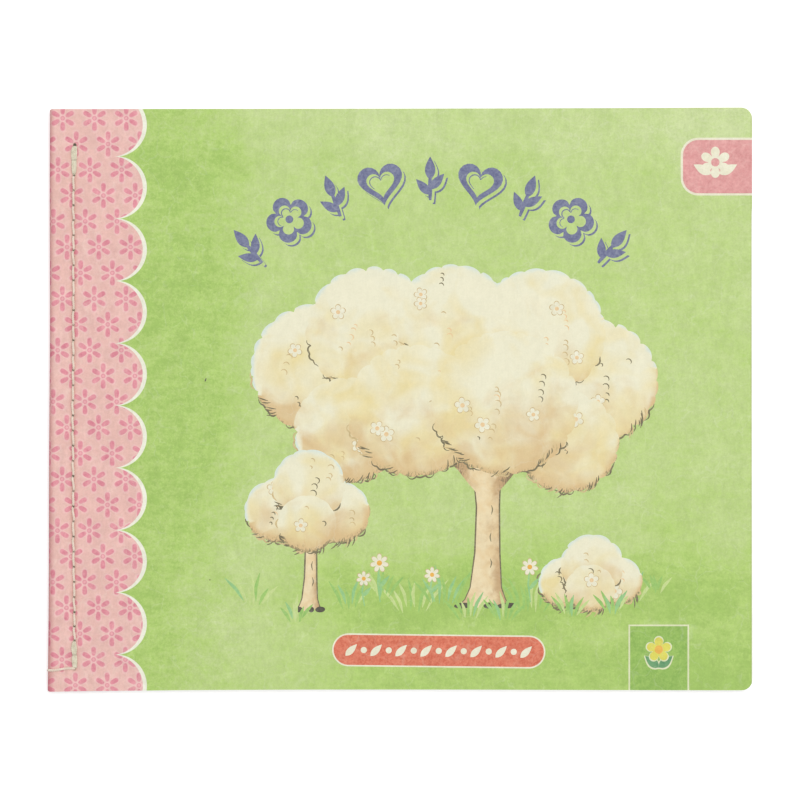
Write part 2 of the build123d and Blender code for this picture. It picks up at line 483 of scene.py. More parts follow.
class Graph:
    """The node tree of a material or of the world."""

    def __init__(self, owner):
        owner.use_nodes = True
        self.owner, self.tree = owner, owner.node_tree
        self.tree.nodes.clear()

    def put(self, socket, value):
        if isinstance(value, Value):
            self.tree.links.new(value.socket, socket)
        elif value is not None:
            socket.default_value = value

    def node(self, kind, inputs=None, output=0, **settings):
        """Makes a node and gives one of its outputs."""
        made = self.tree.nodes.new("ShaderNode" + kind)
        for key, value in settings.items():
            setattr(made, key, value)
        for key, value in (inputs or {}).items():
            self.put(made.inputs[key], value)
        return Value(self, made.outputs[output])

    def math(self, operation, a, b=None, c=None):
        return self.node("Math", {0: a, 1: b, 2: c}, operation=operation)

    def mix(self, factor, a, b, blend="MIX"):
        inputs = {0: factor, 6: shader_colour(a), 7: shader_colour(b)}
        return self.node("Mix", inputs, 2, data_type="RGBA", blend_type=blend)

    def distance(self, a, b):
        return self.math("SQRT", a**2.0 + b**2.0)

    def attribute(self, name):
        return self.node("Attribute", output="Fac", attribute_name=name)

    def noise(self, size, detail=2.0, rough=0.5, warp=0.0, stretch=(1.0, 1.0, 0.0), offset=0.0, output="Fac"):
        """Soft noise whose features are about size across. stretch is along x and y, and a turn."""
        stretch_x, stretch_y, turn = stretch
        scaled = self.node("Mapping", {
            "Vector": self.place,
            "Scale": (1 / (size * stretch_x), 1 / (size * stretch_y), 1 / size),
            "Rotation": (0, 0, math.radians(turn)),
            "Location": (offset, offset * 0.7, offset * 1.3),
        })
        settings = {"Vector": scaled, "Scale": 1.0, "Detail": detail, "Roughness": rough, "Distortion": warp}
        return self.node("TexNoise", settings, output)

    def wrinkles(self, size):
        """Thin wandering lines, 1 along their middles, that part the sheet into cells about size wide."""
        bend = {0: self.noise(size * 0.6, output="Color"), 1: (size * 0.9, size * 0.9, 0.0), 2: self.place}
        bent = self.node("VectorMath", bend, operation="MULTIPLY_ADD")
        cells = {"Vector": bent, "Scale": 1 / size}
        return self.node("TexVoronoi", cells, "Distance", feature="DISTANCE_TO_EDGE").fade(0.035, 0.0)

    def along_and_up(self):
        """The two parts of the place: along the sheet from the fold, and up it from the middle."""
        return tuple(self.node("SeparateXYZ", {0: self.place}, output) for output in (0, 1))

    def surface(self, colour, relief, bump, depth, roughness, specular, sheen=0.0):
        """The material, with a relief that is depth millimetres deep."""
        normal = self.node("Bump", {"Strength": bump, "Distance": depth * MM, "Height": relief})
        return self.finish(self.node("BsdfPrincipled", {
            "Base Color": colour,
            "Roughness": roughness,
            "Specular IOR Level": specular,
            "Sheen Weight": sheen,
            "Normal": normal,
        }))

    def finish(self, shader):
        output = self.tree.nodes.new(f"ShaderNodeOutput{type(self.owner).__name__}")
        self.put(output.inputs[0], shader)
        return self.owner


def placed_graph(name, scale, kind, output=0, **settings):
    """A new material's nodes. Its place on the surface is what a kind of node gives, times scale."""
    graph = Graph(bpy.data.materials.new(name))
    place = graph.node(kind, None, output, **settings)
    graph.place = graph.node("VectorMath", {0: place, 3: scale}, operation="SCALE")
    return graph


def sheet_graph(name):
    """A sheet's material: its place is in millimetres along the sheet from the fold, and up it."""
    return placed_graph(name, UV_SCALE, "UVMap", uv_map="print")


def object_graph(name, scale):
    """A material whose place is measured from the object's origin."""
    return placed_graph(name, scale, "TexCoord", "Object")


def finish_sheet(graph, colour, mottle=0.75):
    """The synthetic paper's skin under any ink: fibre mottling in the colour and in the relief."""
    fibres = graph.noise(1.3, 3.0, 0.8, 0.6)
    grain = graph.noise(0.5, 2.0, 0.8, offset=3.0)
    threads = graph.noise(0.6, 2.0, 0.6, 0.6, (1.0, 5.0, 38.0), 6.0)
    creases = graph.noise(5.5, 4.0, 0.55, 1.6, (1.0, 1.8, 35.0), 8.0)
    blotches = graph.noise(3.4, 1.0, 0.6, 0.8, (1.0, 1.6, 30.0), 13.0)
    cloud = fibres.swing(0.65) + grain.swing(0.6) + threads.swing(0.35) + blotches.swing(0.5) + 0.5
    shade = graph.mix(cloud.fade(0.08, 0.92), (235, 236, 235), (260, 260, 260))
    colour = graph.mix(mottle, colour, shade, "MULTIPLY")
    wrinkle = graph.wrinkles(6.5) * creases.fade(0.4, 0.6)
    colour = graph.mix(wrinkle * 0.1, colour, (244, 244, 226))
    relief = cloud * 0.6 + creases * 0.9 + wrinkle * 0.25
    return graph.surface(colour, relief, bump=0.35, depth=0.06, roughness=0.62, specular=0.28)


# Soft patches of the green wash: x, y, breadth, height and strength
WASH_PATCHES = (
    (-36.0, -58.0, 21.0, 25.0, 0.56),
    (84.0, 66.0, 14.0, 18.0, 0.2),
    (70.0, -67.0, 26.0, 11.0, -0.12),
    (54.0, -60.0, 26.0, 4.5, 0.2),
)
WASH = (
    (0.0, (166, 199, 104)),
    (0.25, (181, 210, 118)),
    (0.55, (191, 214, 136)),
    (0.8, (199, 218, 149)),
    (1.0, (208, 223, 163)),
)


def green_wash(graph):
    """Leaf green in watercolour: deeper beside the scallops and at the foot, with fibrous mottling."""
    along, y = graph.along_and_up()
    x = abs(along) + PRINT_X0
    wander = graph.noise(17.0, 4.0, 0.55, offset=20.0).swing(26.0)
    spine_band = (x + wander).fade(-31.0, -52.0)
    foot_band = (y + wander).fade(-29.5, -50.0)
    head_band = (y + wander).fade(58.0, 68.0)
    tone = 0.57 - graph.math("MAXIMUM", spine_band * 0.43, foot_band * 0.46) + head_band * 0.2
    for centre_x, centre_y, breadth, height, strength in WASH_PATCHES:
        reach = ((x - centre_x) / breadth) ** 2.0 + ((y - centre_y) / height) ** 2.0
        tone += graph.math("EXPONENT", reach * -1.0) * strength
    # tone holds the deeper printed patch under the trees and the painted shade beside the seam
    tone += graph.attribute("tone") * -0.16
    tone += graph.noise(24.0, warp=0.6, offset=4.0).swing(0.5)
    tone += graph.noise(7.0, rough=0.6, warp=0.5, offset=11.0).swing(0.4)
    streaks = graph.noise(2.4, rough=0.7, stretch=(2.0, 0.8, 22.0), offset=2.0)
    blots = graph.noise(0.8, rough=0.8, warp=0.8, offset=7.0)
    tone += (streaks.swing(0.5) + blots.swing(0.6)) * (spine_band * 0.6 + 1.0)
    return tone.ramp(*WASH)


def rubbed_edges(graph, colour):
    """Painted shade along the fold, where the sheet turns away from the light, and in a thin line at the
    fore-edge.
    """
    along = abs(graph.along_and_up()[0])
    colour = graph.mix(along.fade(2.4, 0.3), colour, (225, 197, 204), "MULTIPLY")
    fore = COVER.reach[1]
    return graph.mix(along.fade(fore - 0.35, fore - 0.1), colour, (245, 242, 234), "MULTIPLY")


def flower_row(graph, x, y, row):
    """How far out each place lies in one row's nearest flower: 1 at a petal's edge, and in millimetres."""
    dx = (x - row * FLOWER_ROW_SHIFT).from_nearest(FLOWER_X - PRINT_X0, FLOWER_PITCH)
    dy = y + row * FLOWER_ROW - FLOWER_Y
    radius = graph.distance(dx, dy)
    angle = graph.math("ARCTAN2", dx, dy).from_nearest(0.0, math.pi / 3)
    along = (radius * graph.math("COSINE", angle) - PETAL_START) / (PETAL_END - PETAL_START)
    half_width = along * ((PETAL_END_WIDTH - PETAL_START_WIDTH) / 2) + PETAL_START_WIDTH / 2
    side = radius * graph.math("SINE", angle) / half_width
    petal = abs(along * 2.0 - 1.0) ** PETAL_ROUNDNESS + abs(side) ** PETAL_ROUNDNESS
    return petal ** (1 / PETAL_ROUNDNESS), radius


def pink_print(graph):
    """Pink with rows of six-petalled flowers, each in a pale halo."""
    x, y = graph.along_and_up()
    upper = graph.math("FLOOR", (FLOWER_Y - y) / FLOWER_ROW)
    rows = zip(flower_row(graph, x, y, upper), flower_row(graph, x, y, upper + 1.0))
    petal, radius = (graph.math("MINIMUM", *pair) for pair in rows)
    mottle = graph.noise(2.2, 4.0, 0.6, offset=6.0)
    colour = mottle.ramp((0.3, (232, 184, 176)), (0.7, (242, 201, 191)))
    colour = graph.mix(graph.noise(12.0, offset=9.0).fade(0.35, 0.7), colour, (237, 191, 181))
    colour = graph.mix(petal.fade(1.7, 1.15) * 0.42, colour, (247, 203, 203))
    colour = graph.mix(radius.fade(FLOWER_EYE + 0.4, FLOWER_EYE + 0.1) * 0.55, colour, (246, 197, 198))
    worn = mottle + graph.noise(0.7, rough=0.7, offset=12.0).swing(0.7)
    ink = worn.ramp((0.25, (220, 131, 147)), (0.75, (238, 165, 173)))
    eye = radius.ramp((0.0, (240, 172, 178)), (0.28, (240, 172, 178)), (0.4, (226, 140, 154)))
    colour = graph.mix(radius.fade(FLOWER_EYE + 0.12, FLOWER_EYE - 0.16) * 0.85, colour, eye)
    colour = graph.mix(petal.fade(1.18, 0.82), colour, ink)
    # tone darkens the pink with painted shade beside the seam
    return graph.mix(graph.attribute("tone"), colour, (228, 216, 208), "MULTIPLY")


def inside_scallops(graph, centre_s):
    """1 inside the scalloped strip along the spine, whose circles are centred at a distance from the fold."""
    s, y = graph.along_and_up()
    ds = graph.math("MAXIMUM", abs(s) - centre_s, 0.0)
    past = graph.distance(ds, y.from_nearest(SCALLOP_CREST_Y, SCALLOP_PITCH)) - SCALLOP_RADIUS
    return past.fade(SCALLOP_SOFTNESS, -SCALLOP_SOFTNESS)


def cover_material():
    """The cover's own print: green wash, cream-edged scallops and the flowered pink strip round the spine."""
    graph = sheet_graph("cover_print")
    cream = graph.noise(2.0, 3.0).ramp((0.3, (240, 239, 218)), (0.7, (246, 246, 229)))
    colour = graph.mix(inside_scallops(graph, SCALLOP_PINK_S + SCALLOP_CREAM_GAP), green_wash(graph), cream)
    colour = graph.mix(inside_scallops(graph, SCALLOP_PINK_S), colour, pink_print(graph))
    # Painted shade along the fold and in a thin line at the fore-edge
    return finish_sheet(graph, rubbed_edges(graph, colour), 1.0)


def ink_material(name, light, dark, size):
    """An ink on the sheet, in two shades of soft clouds."""
    graph = sheet_graph(name)
    clouds = graph.noise(size, 4.0, 0.65, 0.4, offset=5.0)
    clouds += graph.noise(0.6, rough=0.7, offset=17.0).swing(0.5)
    return finish_sheet(graph, clouds.ramp((0.3, dark), (0.7, light)))


def brushed_material(name, light, dark, deep, rim, pencil, patch):
    """A watercolour mass: its tone runs from a cool rim, below 0, through its own colours to deep ones."""
    graph = sheet_graph(name)
    tone = graph.attribute("tone")
    clouds = graph.noise(patch, warp=0.5, offset=5.0)
    blots = graph.noise(patch * 0.8, warp=0.7, offset=14.0)
    pools = graph.noise(patch * 2.6, 1.0, warp=0.4, offset=23.0)
    colour = (clouds - tone * 0.25 + pools.swing(0.5)).ramp((0.2, dark), (0.55, light))
    wash = tone + blots.swing(1.3) + pools.swing(1.1)
    colour = graph.mix(wash.fade(0.15, 1.15), colour, deep)
    colour = graph.mix((blots.swing(0.5) - tone).fade(0.1, 0.8) * 0.9, colour, rim)
    hatch = graph.noise(0.42, 2.0, 0.6, 1.2, (1.0, 3.2, -32.0), 9.0)
    drawn = (tone * 0.5 + hatch.swing(1.9)).fade(0.62, 0.86)
    colour = graph.mix(drawn * tone.fade(0.7, 1.2) * 0.8, colour, pencil)
    return finish_sheet(graph, colour, 0.5)


def plain_sheet(name, light, dark):
    graph = sheet_graph(name)
    return finish_sheet(graph, graph.noise(18.0, 4.0, 0.6, 0.5).ramp((0.3, dark), (0.7, light)))


def hole_material(name, deep, side, rim):
    """The dented sheet in a needle hole, with painted shade that darkens towards its middle."""
    graph = sheet_graph(name)
    ragged = graph.attribute("tone") + graph.noise(0.3, rough=0.6).swing(0.3)
    return finish_sheet(graph, ragged.ramp((0.2, deep), (0.65, side), (1.0, rim)))


def thread_material(name, light, dark):
    """Spun thread, with painted shade where it sinks into the needle holes."""
    graph = object_graph(name, 1 / MM)
    fibres = graph.noise(0.16, 3.0, 0.7)
    patches = fibres + graph.noise(1.1, offset=3.0).swing(0.6)
    colour = patches.ramp((0.3, dark), (0.7, light))
    # Painted shade where the thread sinks into a needle hole
    colour = graph.mix(graph.attribute("sunk").fade(0.05, 0.8), colour, (76, 72, 57))
    return graph.surface(colour, fibres, bump=0.5, depth=0.04, roughness=0.7, specular=0.3, sheen=0.2)


# Inks: a light and a dark shade, and how broad their clouds are
INKS = {
    "cream": ((242, 239, 217), (233, 228, 200), 4.0),
    "pale_line": ((230, 232, 196), (218, 224, 178), 4.0),
    "violet": ((134, 139, 164), (100, 104, 139), 1.0),
    "red": ((232, 139, 112), (208, 102, 76), 1.0),
    "rose": ((234, 174, 170), (216, 146, 145), 1.4),
    "deep_green": ((164, 199, 104), (138, 178, 86), 1.4),
    "leaf_green": ((120, 168, 118), (92, 146, 104), 2.0),
    "sun": ((228, 224, 104), (216, 208, 88), 2.0),
    "amber": ((240, 190, 92), (230, 172, 78), 2.0),
    "pencil": ((142, 133, 102), (104, 98, 76), 1.0),
    "faint_pencil": ((222, 200, 150), (196, 172, 126), 1.0),
    "charcoal": ((104, 100, 84), (72, 70, 60), 1.0),
    "grass": ((168, 206, 116), (144, 190, 104), 1.5),
    "sea_green": ((164, 206, 140), (142, 194, 132), 1.5),
    "pale_grass": ((206, 222, 152), (190, 212, 134), 1.5),
    "blush": ((240, 212, 166), (232, 196, 148), 1.5),
}
# Brushed masses: light, dark, deep, rim and pencil shades, and how broad their patches are
MASSES = {
    "fluff": ((238, 234, 206), (234, 219, 164), (219, 190, 141), (216, 229, 220), (128, 122, 92), 9.0),
    "bark": ((238, 220, 180), (230, 204, 158), (196, 164, 122), (214, 222, 204), (118, 106, 84), 3.0),
}
MATERIALS = {name: ink_material(f"{name}_ink", *shades) for name, shades in INKS.items()}
MATERIALS |= {name: brushed_material(f"{name}_ink", *shades) for name, shades in MASSES.items()}
MATERIALS |= {
    "cover": cover_material(),
    # Needle holes: painted shade, darkest in their middles
    "hole": hole_material("needle_hole", (84, 80, 62), (138, 130, 108), (192, 158, 147)),
    "first_hole": hole_material("first_needle_hole", (62, 57, 46), (104, 96, 80), (174, 132, 124)),
    "inside": plain_sheet("sheet_plain", (243, 241, 234), (236, 233, 224)),
    "cut": plain_sheet("sheet_cut_edge", (238, 236, 228), (226, 222, 210)),
    "thread": thread_material("seam_thread", (247, 233, 218), (222, 205, 186)),
    "thread_thick": thread_material("seam_thread_doubled", (242, 237, 216), (206, 197, 171)),
}


# The cover's picture: generic garden motifs, where art is the Print that they are added to

def violet_motif(art, *shapes):
    """Violet shapes with a thin line beside them at the lower right."""
    for ink, shift in (("violet", 1.0), ("cover", 0.62), ("violet", 0.0)):
        for shape in shapes:
            art.add(moved(shape, shift, -shift), ink)


def violet_ring(art, x, y, outer, inner):
    """An open violet shape, with the thin line again inside its opening at the upper left."""
    violet_motif(art, outer)
    art.add(inner, "cover")
    share = 1 - 0.75 / max(math.hypot(px - x, py - y) for px, py in inner)
    line = []
    for px, py in inner:
        place = (x + (px - x) * share + 0.12, y + (py - y) * share - 0.12)
        angle = math.degrees(math.atan2(place[1] - y, place[0] - x)) % 360
        if 45 < angle < 225:
            line.append((angle, place))
    art.add(stroke([place for _, place in sorted(line)], 0.3, 0.5), "violet")


def violet_sprig(art, x, y, lean):
    """A violet stalk with a leaf at its tip and one on each side."""
    def on_stalk(level):
        return moved(turned([(0.0, level)], lean), x, y)[0]

    shapes = [stroke([on_stalk(-5.0), on_stalk(1.6)], 1.1, 0.6), leaf(*on_stalk(0.2), 6.0, 2.7, lean + 90)]
    for side, level in ((-1, -3.6), (1, -2.2)):
        shapes.append(leaf(*on_stalk(level), 5.4, 2.3, lean + 90 - side * 42))
    violet_motif(art, *shapes)


GARLAND_RADIUS = 70.5
GARLAND_CENTRE = (8.0, -14.6)
GARLAND_START = 131.0
GARLAND_END = 49.0
GARLAND = ("sprig", "blossom", "sprig", "heart", "sprig", "heart", "sprig", "blossom", "sprig")


def garland(art):
    """An arched garland over the picture: open blossoms, open hearts and leafy sprigs."""
    for i, kind in enumerate(GARLAND):
        angle = GARLAND_START + (GARLAND_END - GARLAND_START) * i / (len(GARLAND) - 1)
        x, y = polar(*GARLAND_CENTRE, GARLAND_RADIUS, math.radians(angle))
        lean = angle - 90
        if kind == "blossom":
            outer, inner = blossom(x, y, 6.0, 5, lean + 90, 0.62), blossom(x, y, 3.9, 5, lean + 90, 0.55)
            violet_ring(art, x, y, outer, inner)
            art.add(oval(x, y, 1.0, 1.0), "violet")
        elif kind == "heart":
            violet_ring(art, x, y, heart(x, y, 11.6, lean), heart(x, y, 7.2, lean))
        else:
            violet_sprig(art, x, y, lean)


RIM_WIDTH = 1.7
MASS_EDGE_WIDTH = 3.5


def crown_tone(masses, index):
    """Shading of one round mass of a crown: light above, deep below, cool on the crown's upper rim, pencilled
    along its foot. masses gives an x, a y and a radius for each."""
    own_x, own_y, own_radius = masses[index]
    low = min(y - radius for _, y, radius in masses)
    high = max(y + radius for _, y, radius in masses)

    def shade(x, y):
        depth, rise = np.full_like(x, -99.0), np.zeros_like(x)
        for mass_x, mass_y, radius in masses:
            away = np.hypot(x - mass_x, y - mass_y)
            nearer = radius - away > depth
            depth = np.where(nearer, radius - away, depth)
            rise = np.where(nearer, ((y - mass_y) - 0.35 * (x - mass_x)) / np.maximum(away, 0.1), rise)
        own = (y - own_y) / own_radius
        whole = (2 * y - low - high) / (high - low)
        own_edge = np.clip(1 - (own_radius - np.hypot(x - own_x, y - own_y)) / MASS_EDGE_WIDTH, 0, 1)
        base = 0.28 - 0.32 * own - 0.26 * whole + 0.35 * own_edge * np.clip(-own, 0, 1)
        rim = np.clip(1 - depth / RIM_WIDTH, 0, 1)
        return base * (1 - rim) + np.where(rise > -0.1, -1.1 * rim, base + rim * 0.9) * rim

    return shade


def curls(art, x, y, count, size, lean, local):
    """A short chain of small drawn curls, no two alike."""
    ink = local.choice(("faint_pencil", "faint_pencil", "blush", "pencil"))
    for _ in range(count):
        radius = 0.72 * size * local.uniform(0.7, 1.3)
        start = local.uniform(110, 150)
        angles = np.radians(np.linspace(start, start - local.uniform(130, 200), 8))
        art.add(stroke([polar(x, y, radius, a) for a in angles], 0.32, 0.3), ink)
        x += lean + local.uniform(-0.25, 0.25)
        y -= 1.9 * radius + local.uniform(0.0, 0.5)


def hatching(art, x, y, radius, start, end, local):
    """Short pencil strokes side by side along the edge of a mass, between two directions from its middle."""
    angle = start
    while angle < end:
        away, length = radius * local.uniform(0.86, 0.93), local.uniform(1.2, 2.8)
        foot = polar(x, y, away, math.radians(angle))
        tip = polar(*foot, length, math.radians(angle) - math.pi / 2 + local.uniform(0.5, 0.9))
        middle = ((foot[0] + tip[0]) / 2 + 0.2, (foot[1] + tip[1]) / 2 - 0.15)
        art.add(stroke([foot, middle, tip], 0.34, 0.3), local.choice(("pencil", "pencil", "faint_pencil")))
        angle += math.degrees(local.uniform(0.45, 0.95) / radius)


# Stretches of a mass's outline that are drawn in, as shares of the way round
DRAWN_STRETCHES = ((0.51, 0.57), (0.59, 0.67), (0.69, 0.75), (0.77, 0.85), (0.88, 0.93))
# Directions from its middle, in degrees, from which a mass is hatched
HATCHED_FROM = (205, 245, 285)


def inside_mass(mass, local, least, most):
    """A random place in a mass, between two shares of its radius from the middle."""
    x, y, radius = mass
    angle, away = local.uniform(0, 2 * math.pi), radius * local.uniform(least, most)
    return polar(x, y, away, angle)


def flower(art, x, y, petals, turn, rings, eye, eye_ink, eye_points):
    """A flower of blossoms laid on each other, each a radius, a notch and an ink, round an eye."""
    for radius, notch, ink in rings:
        art.add(blossom(x, y, radius, petals, turn, notch), ink)
    art.add(oval(x, y, eye, eye, count=eye_points), eye_ink)


def draw_crown(art, masses, seed):
    """A crown of fluffy masses, drawn from back to front with curls, blossoms and pencilled undersides."""
    local = random.Random(seed)
    for index, mass in enumerate(masses):
        x, y, radius = mass
        ring = puff(x, y, radius, radius * 0.97, max(9, round(radius * 1.3)), 0.06, local)
        art.add(ring, "fluff", crown_tone(masses, index))
        for begin, end in DRAWN_STRETCHES:
            part = ring[int(begin * len(ring)):int(end * len(ring))]
            ink = "pencil" if local.random() < 0.75 else "faint_pencil"
            art.add(stroke(bumpy(part, local.uniform(0.3, 0.6)), 0.48, 0.3), ink)
        for direction in HATCHED_FROM:
            start = direction + local.uniform(0, 25)
            hatching(art, x, y, radius, start, start + local.uniform(10, 26), local)
        for _ in range(round(radius * 0.3)):
            curl_x, curl_y = inside_mass(mass, local, 0.1, 0.72)
            count, size, lean = local.choice((1, 2, 3, 4)), local.uniform(0.7, 1.15), local.uniform(-0.7, 0.5)
            curls(art, curl_x, curl_y + 1.5, count, size, lean, local)
        for _ in range(round(radius * 0.14)):
            place = inside_mass(mass, local, 0.2, 0.75)
            size, spin = local.uniform(1.5, 2.0), local.uniform(0, 72)
            rings = ((size + 0.22, 0.5, "faint_pencil"), (size, 0.46, "cream"))
            flower(art, *place, 5, spin, rings, size * 0.3, "blush", 10)


# A trunk's half width from the foot up, and its roots: shares of its width, and heights over the foot
TRUNK_PROFILE = ((0.0, 0.78), (0.04, 0.6), (0.12, 0.46), (0.35, 0.37), (0.65, 0.34), (1.0, 0.44))
TRUNK_ROOTS = ((0.4, -0.4), (0.12, 1.1), (-0.18, -0.5), (-0.5, 0.5))
# Dark root tips: place and size as shares of the width. Marks on the bark: height as a share, and lean
ROOT_TIPS = ((-0.62, 0.26), (0.62, 0.28), (0.12, 0.16))
BARK_MARKS = ((0.25, 0.4), (0.42, -0.3), (0.6, 0.3))


def trunk_tone(x0, width):
    """Light down the left of the middle and deep at both sides."""
    def shade(x, y):
        across = (x - x0) / width
        return 0.1 + 1.5 * np.clip(np.abs(across + 0.12) - 0.16, 0, 1) + 0.5 * np.clip(across, 0, 1)
    return shade


def trunk(art, x, top_y, foot_y, width, sway):
    """A tapering trunk with spreading roots, dark at their tips and outlined in pencil."""
    def place(t, off):
        return x + sway * math.sin(2.6 * t) + off, foot_y + (top_y - foot_y) * t

    left, right = ([place(t, side * width * half) for t, half in TRUNK_PROFILE] for side in (-1, 1))
    roots = [(x + width * share, foot_y + rise) for share, rise in TRUNK_ROOTS]
    art.add(left + right[::-1] + roots, "bark", trunk_tone(x, width))
    for side, line in ((-1, left), (1, right)):
        art.add(stroke(moved(line, -side * 0.12, 0.0), 0.42, 0.5), "pencil")
    for share, size in ROOT_TIPS:
        art.add(oval(x + share * width, foot_y + 0.1, width * size, 0.75, 4, 14), "charcoal")
    for t, lean in BARK_MARKS:
        mark_x, mark_y = place(t, width * 0.1)
        mark = [(mark_x, mark_y), (mark_x + lean, mark_y + 1.3), (mark_x, mark_y + 2.4)]
        art.add(stroke(mark, 0.32), "pencil")


def branches(art, x, foot_y, width, tips):
    for tip_x, tip_y in tips:
        middle = ((x + tip_x) / 2 + (x - tip_x) * 0.12, (foot_y + tip_y) / 2)
        art.add(stroke([(x, foot_y), middle, (tip_x, tip_y)], width, 0.45), "bark", trunk_tone(x, width * 2))


def tuft(art, x, y, size, blades, seed):
    """A tuft of grass whose blades fan out."""
    local = random.Random(seed)
    for i in range(blades):
        lean = -34 + 68 * i / (blades - 1) + local.uniform(-8, 8)
        length = size * local.uniform(0.6, 1.0)
        base = (x + (i - blades / 2) * size * 0.1, y + local.uniform(-0.8, 0.8))
        tip = polar(*base, length, math.radians(90 - lean))
        bow = length * 0.07 * math.copysign(1, lean)
        middle = ((base[0] + tip[0]) / 2 - bow, (base[1] + tip[1]) / 2)
        ink = local.choice(("grass", "grass", "sea_green", "pale_grass"))
        art.add(stroke([base, middle, tip], 0.85, 0.15), ink)


def daisy(art, x, y, radius, stem):
    art.add(stroke([(x, y), (x - 0.4, y - stem * 0.5), (x + 0.2, y - stem)], 0.5, 0.5), "sea_green")
    art.add(leaf(x - 0.2, y - stem * 0.65, stem * 0.45, 1.1, 50), "sea_green")
    rings = ((radius + 0.2, 0.42, "faint_pencil"), (radius, 0.38, "cream"))
    flower(art, x, y, 7, 90, rings, radius * 0.3, "amber", 12)


# Tufts of grass: x, y, height, blades and seed. Daisies: x, y, radius and stem
FAR_TUFTS = (
    (-37, -52, 8, 7, 1), (-12, -53, 8, 6, 2), (4, -54, 10, 8, 3), (12, -52, 11, 7, 4),
    (34, -54, 10, 8, 5), (60, -51, 8, 6, 6), (66, -49, 6, 5, 7), (-4, -50, 7, 6, 11),
)
NEAR_TUFTS = (
    (18, -56, 7, 7, 8), (-26, -56.5, 6, 6, 9), (27, -56, 7, 7, 10),
    (44, -55, 6, 7, 12), (55, -54.5, 6, 7, 13),
)
DAISIES = ((-5, -42, 2.3, 10), (-9.0, -46, 1.8, 7), (33.5, -43, 2.1, 9), (8.5, -45, 1.9, 7))
# Masses of each crown from back to front: x, y and radius
TREE_CROWN = (
    (-21.0, 8.0, 17.0), (50.0, 4.5, 16.5), (-7.0, 17.5, 17.0), (36.0, 17.0, 17.0), (14.0, 20.0, 15.0),
    (-13.0, -8.0, 14.0), (43.0, -11.0, 13.5), (4.0, -3.0, 17.5), (27.0, -1.0, 19.0),
)
SAPLING_CROWN = ((-31.0, -28.5, 8.6), (-15.5, -29.0, 8.2), (-23.0, -22.0, 9.4), (-23.5, -32.0, 7.6))
BUSH = ((42.5, -47.0, 6.8), (56.0, -46.5, 6.4), (49.5, -42.5, 8.2), (49.0, -48.5, 6.4))


def picture(art):
    """Two blossom trees and a low bush in a meadow."""
    for place in FAR_TUFTS:
        tuft(art, *place)
    trunk(art, 22.0, -14.0, -53.0, 9.0, 0.8)
    branches(art, 22.5, -26.0, 3.2, ((6.0, -8.0), (40.0, -8.0)))
    draw_crown(art, TREE_CROWN, 21)
    trunk(art, -23.0, -30.0, -54.0, 4.6, 0.5)
    draw_crown(art, SAPLING_CROWN, 22)
    draw_crown(art, BUSH, 23)
    for place in NEAR_TUFTS:
        tuft(art, *place)
    for place in DAISIES:
        daisy(art, *place)


def lined_box(art, x, y, width, height, radius, line, ink, *shape):
    """A rounded box of ink in a thin cream line. shape is its angle and the number of its corners' points."""
    art.add(rounded_box(x, y, width, height, radius, *shape), "cream")
    art.add(rounded_box(x, y, width - 2 * line, height - 2 * line, radius - line, *shape), ink)


def tag(art):
    """Rose tag that runs off the fore-edge, with a small flower in it."""
    left, right, low, high = 72.15, FORE_X + 6.0, 52.1, 66.9
    lined_box(art, (left + right) / 2, (low + high) / 2, right - left, high - low, 4.5, 0.57, "rose")
    x, y = 81.0, 60.6
    for side in (-1, 1):
        art.add(leaf(x + side, y - 3.0, 5.2, 2.4, 90 - side * 62), "cream")
    flower(art, x, y, 6, 90, ((4.0, 0.42, "cream"),), 1.1, "rose", 14)


def pill(art):
    """Red pill under the picture, with a running row of leaves and dots."""
    x, y, width, height, lean = 10.2, -64.5, 54.6, 8.45, -0.7
    lined_box(art, x, y, width, height, height / 2, 0.38, "red", lean, 14)
    for i, along in enumerate(np.linspace(-22.4, 22.4, 15)):
        at_x, at_y = moved(turned([(along, 0.0)], lean), x, y)[0]
        if i % 2:
            art.add(oval(at_x, at_y, 0.8, 0.8, count=14), "cream")
        else:
            art.add(leaf(at_x - 1.5, at_y - 1.5, 4.2, 1.7, 45), "cream")


def corner_box(art):
    """Darker green box that runs off the foot, with a small outlined flower in it."""
    left, right, top = 58.77, 74.3, -57.75
    foot = -HALF_HEIGHT - 4.0
    for line, ink in ((0.0, "pale_line"), (0.42, "deep_green")):
        low_x, high_x, high_y = left + line, right - line, top - line
        art.add([(low_x, foot), (high_x, foot), (high_x, high_y), (low_x, high_y)], ink)
    x, y = (left + right) / 2, top - 6.4
    for grow, ink in ((0.32, "pale_line"), (0.0, "leaf_green")):
        for side in (-1, 1):
            foot_x, length, width = x - side * grow * 0.6, 4.6 + 2 * grow, 2.3 + 2 * grow
            art.add(leaf(foot_x, y - 4.6 - grow, length, width, 90 - side * 50), ink)
    flower(art, x, y, 5, 90, ((3.5, 0.5, "pale_line"), (3.15, 0.48, "sun")), 1.1, "amber", 14)


def specks(art):
    """Two small flaws in the sheet."""
    art.add(oval(-49.5, 4.9, 0.16, 0.52, -18, 10), "charcoal")
    art.add(oval(-48.4, -46.3, 0.2, 0.16, 0, 8), "pencil")


def front_print():
    """Everything printed on the front cover over its wash."""
    art = Print()
    for draw in (garland, picture, tag, pill, corner_box, specks):
        draw(art)
    return art


# The seam's place on the sheet, and how it shapes the sheet

def hole_places():
    """Heights of the needle holes from the head down: the last stitches are a little shorter."""
    long_end_y = SEAM_HEAD_Y - LONG_STITCHES * LONG_STITCH
    known = (0, LONG_STITCHES, STITCHES), (SEAM_HEAD_Y, long_end_y, SEAM_FOOT_Y)
    return np.interp(range(STITCHES + 1), *known)


HOLE_YS = hole_places()


def seam_line(y):
    """Where the seam runs at a height up the page: it wanders a little from straight."""
    return SEAM_X + np.interp(y, SEAM_WANDER_Y, SEAM_WANDER_X)


